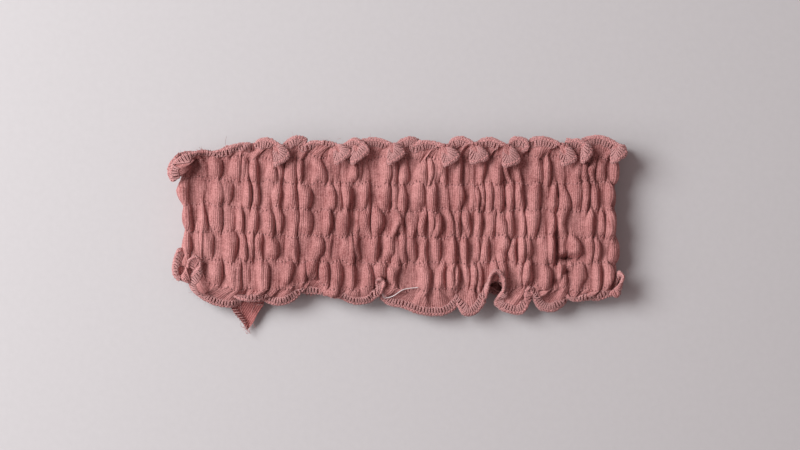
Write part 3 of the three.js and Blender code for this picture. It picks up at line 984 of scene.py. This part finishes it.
class Nodes:
    """Short ways to add and join shader nodes."""

    def __init__(self, name):
        self.material = bpy.data.materials.new(name)
        self.material.use_nodes = True
        self.tree = self.material.node_tree
        self.shader = self.tree.nodes["Principled BSDF"]

    def add(self, kind, **settings):
        node = self.tree.nodes.new("ShaderNode" + kind)
        for key, value in settings.items():
            setattr(node, key, value)
        return node

    def put(self, socket, value):
        """Set a socket to a number or a colour, or join another node's output to it."""
        if isinstance(value, (int, float)):
            socket.default_value = value
        elif isinstance(value, tuple):
            socket.default_value = (*value, 1)
        else:
            self.tree.links.new(value, socket)

    def feed(self, node, **values):
        for key, value in values.items():
            self.put(node.inputs[key.replace("_", " ")], value)

    def math(self, operation, first, second=None, clamp=False):
        node = self.add("Math", operation=operation, use_clamp=clamp)
        self.put(node.inputs[0], first)
        if second is not None:
            self.put(node.inputs[1], second)
        return node.outputs[0]

    def plus(self, first, second, clamp=False):
        return self.math("ADD", first, second, clamp)

    def minus(self, first, second, clamp=False):
        return self.math("SUBTRACT", first, second, clamp)

    def times(self, first, second):
        return self.math("MULTIPLY", first, second)

    def mix(self, factor, first, second):
        node = self.add("Mix", data_type="RGBA")
        for number, value in ((0, factor), (6, first), (7, second)):
            self.put(node.inputs[number], value)
        return node.outputs[2]

    def noise(self, scale, detail, roughness):
        place = self.add("TexCoord").outputs["Object"]
        node = self.add("TexNoise")
        self.feed(node, Vector=place, Scale=scale, Detail=detail, Roughness=roughness)
        return node.outputs[0]

    def uv(self, name):
        parts = self.add("SeparateXYZ")
        self.feed(parts, Vector=self.add("UVMap", uv_map=name).outputs[0])
        return parts.outputs[0], parts.outputs[1]

    def bump(self, height, distance):
        node = self.add("Bump")
        self.feed(node, Strength=1.0, Distance=distance * MM, Height=height)
        self.feed(self.shader, Normal=node.outputs[0])


def linear(r, g, b):
    """Linear colour from 0 to 255 display values."""
    return tuple(((c / 255 + 0.055) / 1.055) ** 2.4 for c in (r, g, b))


# Dark and light colour of each material
CLOTH = linear(116, 50, 49), linear(236, 172, 169)
# Darker copy of the jersey for the seam allowance: painted shade for the corner that lies in the band's
# shade.
SHADED_SEAM_CLOTH = linear(96, 36, 36), linear(212, 138, 135)
OVERLOCK = linear(138, 84, 84), linear(216, 163, 161)
RIM = linear(140, 80, 80), linear(212, 150, 148)
SEWING = linear(158, 96, 96), linear(218, 160, 158)
ELASTIC = linear(158, 104, 102), linear(201, 140, 138)
PALE = linear(196, 176, 178), linear(240, 228, 228)
FLOOR = linear(195, 192, 194), linear(201, 198, 200)
# Painted shade inside each needle hole.
NEEDLE_HOLE_SHADE = linear(112, 60, 62)
CLOTH_SHEEN = linear(235, 190, 190)
HOLE_R = 0.6


def needle_holes(n, u, v):
    """Needle holes along the rows, for their bump and their painted shade: 1 at the middle of each, and 0
    away from them.
    """
    along = n.math("PINGPONG", u, STRIP_LENGTH / ROW_STITCHES / 2)
    from_row = n.math("PINGPONG", n.minus(v, MARGIN), SHIRRED / (ROW_COUNT - 1) / 2)
    away = n.math("POWER", n.plus(n.math("POWER", along, 2.0), n.math("POWER", from_row, 2.0)), 0.5)
    hole = n.minus(1.0, n.math("DIVIDE", away, HOLE_R), clamp=True)
    between = n.times(n.math("LESS_THAN", v, STRIP_WIDTH - MARGIN + 2),
                      n.math("GREATER_THAN", v, MARGIN - 2))
    return n.times(hole, between)


def jersey_material(name, dark, light, holes):
    """Single jersey: V-shaped loops in wales and courses with painted shade in the grooves between them,
    heathered, with holes along the rows, each darkened with painted shade, or none.
    """
    n = Nodes(name)
    u, v = n.uv("Knit")
    across_wale = n.math("ABSOLUTE", n.minus(n.math("FRACT", n.math("DIVIDE", u, WALE)), 0.5))
    rib = n.math("POWER", n.minus(1.0, n.times(across_wale, 2.0)), 0.9)
    course = n.plus(n.math("DIVIDE", v, COURSE), n.times(across_wale, 1.3))
    loop_wave = n.math("SINE", n.times(course, 2 * math.pi))
    loops = n.times(rib, n.plus(n.times(loop_wave, 0.3), 0.7))
    speckle = n.noise(1500, 2, 0.7)
    heather = n.noise(240, 3, 0.6)
    broad = n.noise(28, 2, 0.5)
    height = n.plus(n.times(loops, 0.75), n.times(speckle, 0.6))
    # painted shade: the tone follows the loops, lighter on their crowns and darker in the grooves between
    # wales
    tone = n.plus(n.times(loops, 0.4), n.times(n.minus(speckle, 0.24), 1.15))
    tone = n.plus(tone, n.times(n.minus(heather, 0.5), 0.55))
    tone = n.plus(tone, n.times(n.minus(broad, 0.5), 0.5), clamp=True)
    colour = n.mix(tone, dark, light)
    if holes:
        hole = needle_holes(n, u, v)
        # painted shade: the cloth is darkened in each needle hole, as well as pressed in by the bump below
        colour = n.mix(n.times(hole, 0.8), colour, NEEDLE_HOLE_SHADE)
        height = n.minus(height, n.times(hole, 1.5))
    n.bump(height, 0.38)
    n.feed(n.shader, Base_Color=colour, Roughness=n.plus(n.times(speckle, 0.12), 0.82),
           Specular_IOR_Level=0.15, Sheen_Weight=0.1, Sheen_Roughness=0.45, Sheen_Tint=CLOTH_SHEEN)
    return n.material


def thread_material(name, dark, light, twist=0.9, sheen=0.2):
    """Spun thread: plies that wind round it, darker in the grooves between them with painted shade, with
    lint and uneven colour.
    """
    n = Nodes(name)
    along, round_it = n.uv("Thread")
    phase = n.plus(n.math("DIVIDE", along, twist), n.times(round_it, 2.0))
    ply = n.math("ABSOLUTE", n.math("SINE", n.times(phase, math.pi)))
    lint = n.noise(900, 3, 0.6)
    # painted shade: the tone follows the plies, lighter on their crowns and darker in the grooves between
    # them
    tone = n.plus(n.times(ply, 0.6), n.times(lint, 0.5), clamp=True)
    n.bump(n.plus(ply, n.times(lint, 0.4)), 0.08)
    n.feed(n.shader, Base_Color=n.mix(tone, dark, light), Roughness=n.plus(n.times(lint, 0.15), 0.7),
           Specular_IOR_Level=0.3, Sheen_Weight=sheen, Sheen_Roughness=0.4)
    return n.material


def floor_material():
    n = Nodes("floor_paper")
    colour = n.mix(n.noise(320, 3, 0.6), *FLOOR)
    n.feed(n.shader, Base_Color=colour, Roughness=0.9, Specular_IOR_Level=0.15)
    return n.material


# ---- The object ----


def knit_map():
    """Flat places on the strip, in millimetres, of every corner of the grid's faces."""
    i, j = np.meshgrid(np.arange(AROUND), np.arange(ACROSS - 1), indexing="ij")
    steps = np.stack([
        np.stack([i, j], -1), np.stack([i + 1, j], -1),
        np.stack([i + 1, j + 1], -1), np.stack([i, j + 1], -1)], 2).reshape(-1, 2).astype(float)
    return np.stack([steps[:, 0] * STRIP_LENGTH / AROUND, flat_v(steps[:, 1])], 1)


def finish_piece(piece, material, slot, *nodes):
    piece.data.materials.append(material)
    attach(piece, "root")
    if nodes:
        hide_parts(*nodes)


def build_headband():
    """The strip with its threads, then the seam with its own."""
    rng = np.random.default_rng(3)
    places = strip_grid()
    places += CLOTH_SHARE * (relax(places) - places)
    normals = outward(places)
    strip = mapped_piece("fabric", places.reshape(-1, 3), grid_faces(), "Knit", knit_map())
    finish_piece(strip, jersey_material("jersey_knit", *CLOTH, True), "jersey", "fabric_strip")

    overlock_look = thread_material("overlock_thread", *OVERLOCK, sheen=0.3)
    rim_look = thread_material("overlock_rim_thread", *RIM, sheen=0.3)
    sewing_look = thread_material("sewing_thread", *SEWING, twist=0.6)
    elastic_look = thread_material("elastic_thread", *ELASTIC, twist=0.5)
    pale_look = thread_material("pale_thread", *PALE, twist=0.7)

    on_strip = []
    kinds = (("upper_looper", overlock_look, "overlock_thread"),
             ("lower_looper", rim_look, "overlock_thread"), ("needle", sewing_look, "sewing_thread"))
    for edge, step in (("bottom_edge", 0), ("top_edge", TOP_EDGE)):
        pieces = overlock(edge, places, normals, step, rng)
        for piece, (kind, look, slot) in zip(pieces, kinds):
            finish_piece(piece, look, slot, f"{edge}_{kind}_thread")
        on_strip += pieces
    for row in range(ROW_COUNT):
        number = ROW_COUNT - row
        stitches = row_thread(f"row_{number}_stitches", places, normals, row, rng)
        finish_piece(stitches, sewing_look, "sewing_thread", f"needle_thread_row_{number}")
        elastic = elastic_thread(f"row_{number}_elastic", row)
        finish_piece(elastic, elastic_look, "elastic_thread", f"elastic_thread_row_{number}")
        on_strip += [stitches, elastic]

    tree = BVHTree.FromPolygons([point.co for point in strip.data.vertices], grid_faces())
    loose = loose_thread(tree)
    finish_piece(loose, pale_look, "pale_thread", "loose_thread_end")
    fibres = fuzz(places, normals, rng)
    finish_piece(fibres, overlock_look, "overlock_thread")
    on_strip += [loose, fibres]

    seam = seam_grid()
    cloth = seam_cloth(seam)
    # The seam allowance gets the darker copy of the jersey, which is painted shade.
    finish_piece(cloth, jersey_material("seam_jersey_shaded", *SHADED_SEAM_CLOTH, False), "jersey", "seam_allowance")
    loopers, needle = seam_threads(seam, rng)
    finish_piece(loopers, overlock_look, "overlock_thread", "seam_looper_threads")
    finish_piece(needle, sewing_look, "sewing_thread", "seam_needle_thread")


# ---- Floor, light and camera ----


def soft_light(name, place, target, size, power, colour):
    """A round lamp at a place, in metres, aimed at its target."""
    lamp = bpy.data.lights.new(name, "AREA")
    lamp.shape, lamp.size = "DISK", size
    lamp.energy, lamp.color = power, colour
    thing = linked(name, lamp)
    thing.location = place
    thing.rotation_euler = (Vector(target) - thing.location).to_track_quat("-Z", "Y").to_euler()


FLOOR_HALF = 1.5
FILL_COLOUR = (0.98, 0.79, 0.785, 1)
FILL = 0.27


def build_studio():
    mesh = bpy.data.meshes.new("floor")
    corners = [(x * FLOOR_HALF, y * FLOOR_HALF, 0) for x, y in ((-1, -1), (1, -1), (1, 1), (-1, 1))]
    mesh.from_pydata(corners, [], [(0, 1, 2, 3)])
    floor = linked("floor", mesh)
    floor.location.z = CAD_BOX[0][2]
    mesh.materials.append(floor_material())
    soft_light("window", place=(-1.08, 0.54, 1.09), target=(0, 0, 0), size=1.0, power=29.3,
               colour=(0.975, 1.0, 0.998))
    soft_light("left_wall", place=(-0.75, -0.1, 0.5), target=(-0.1, 0, 0), size=0.6, power=2.4,
               colour=(1.0, 0.985, 0.99))
    world = bpy.data.worlds.new("studio")
    world.use_nodes = True
    background = world.node_tree.nodes["Background"]
    background.inputs["Color"].default_value = FILL_COLOUR
    background.inputs["Strength"].default_value = FILL
    scene = bpy.context.scene
    scene.world = world
    scene.view_settings.view_transform = "Standard"


VIEW_WIDTH = 0.383  # metres across the picture at the height of the upper layer
VIEW_CENTRE_Y = 0.0047
LENS = 85.0
SENSOR = 36.0


def build_camera():
    data = bpy.data.cameras.new("camera")
    data.lens, data.sensor_width = LENS, SENSOR
    camera = linked("camera", data)
    camera.location = (0, VIEW_CENTRE_Y, VIEW_WIDTH / SENSOR * LENS + UPPER_Z * MM)
    bpy.context.scene.camera = camera


build_headband()
build_studio()
build_camera()
bpy.context.view_layer.update()
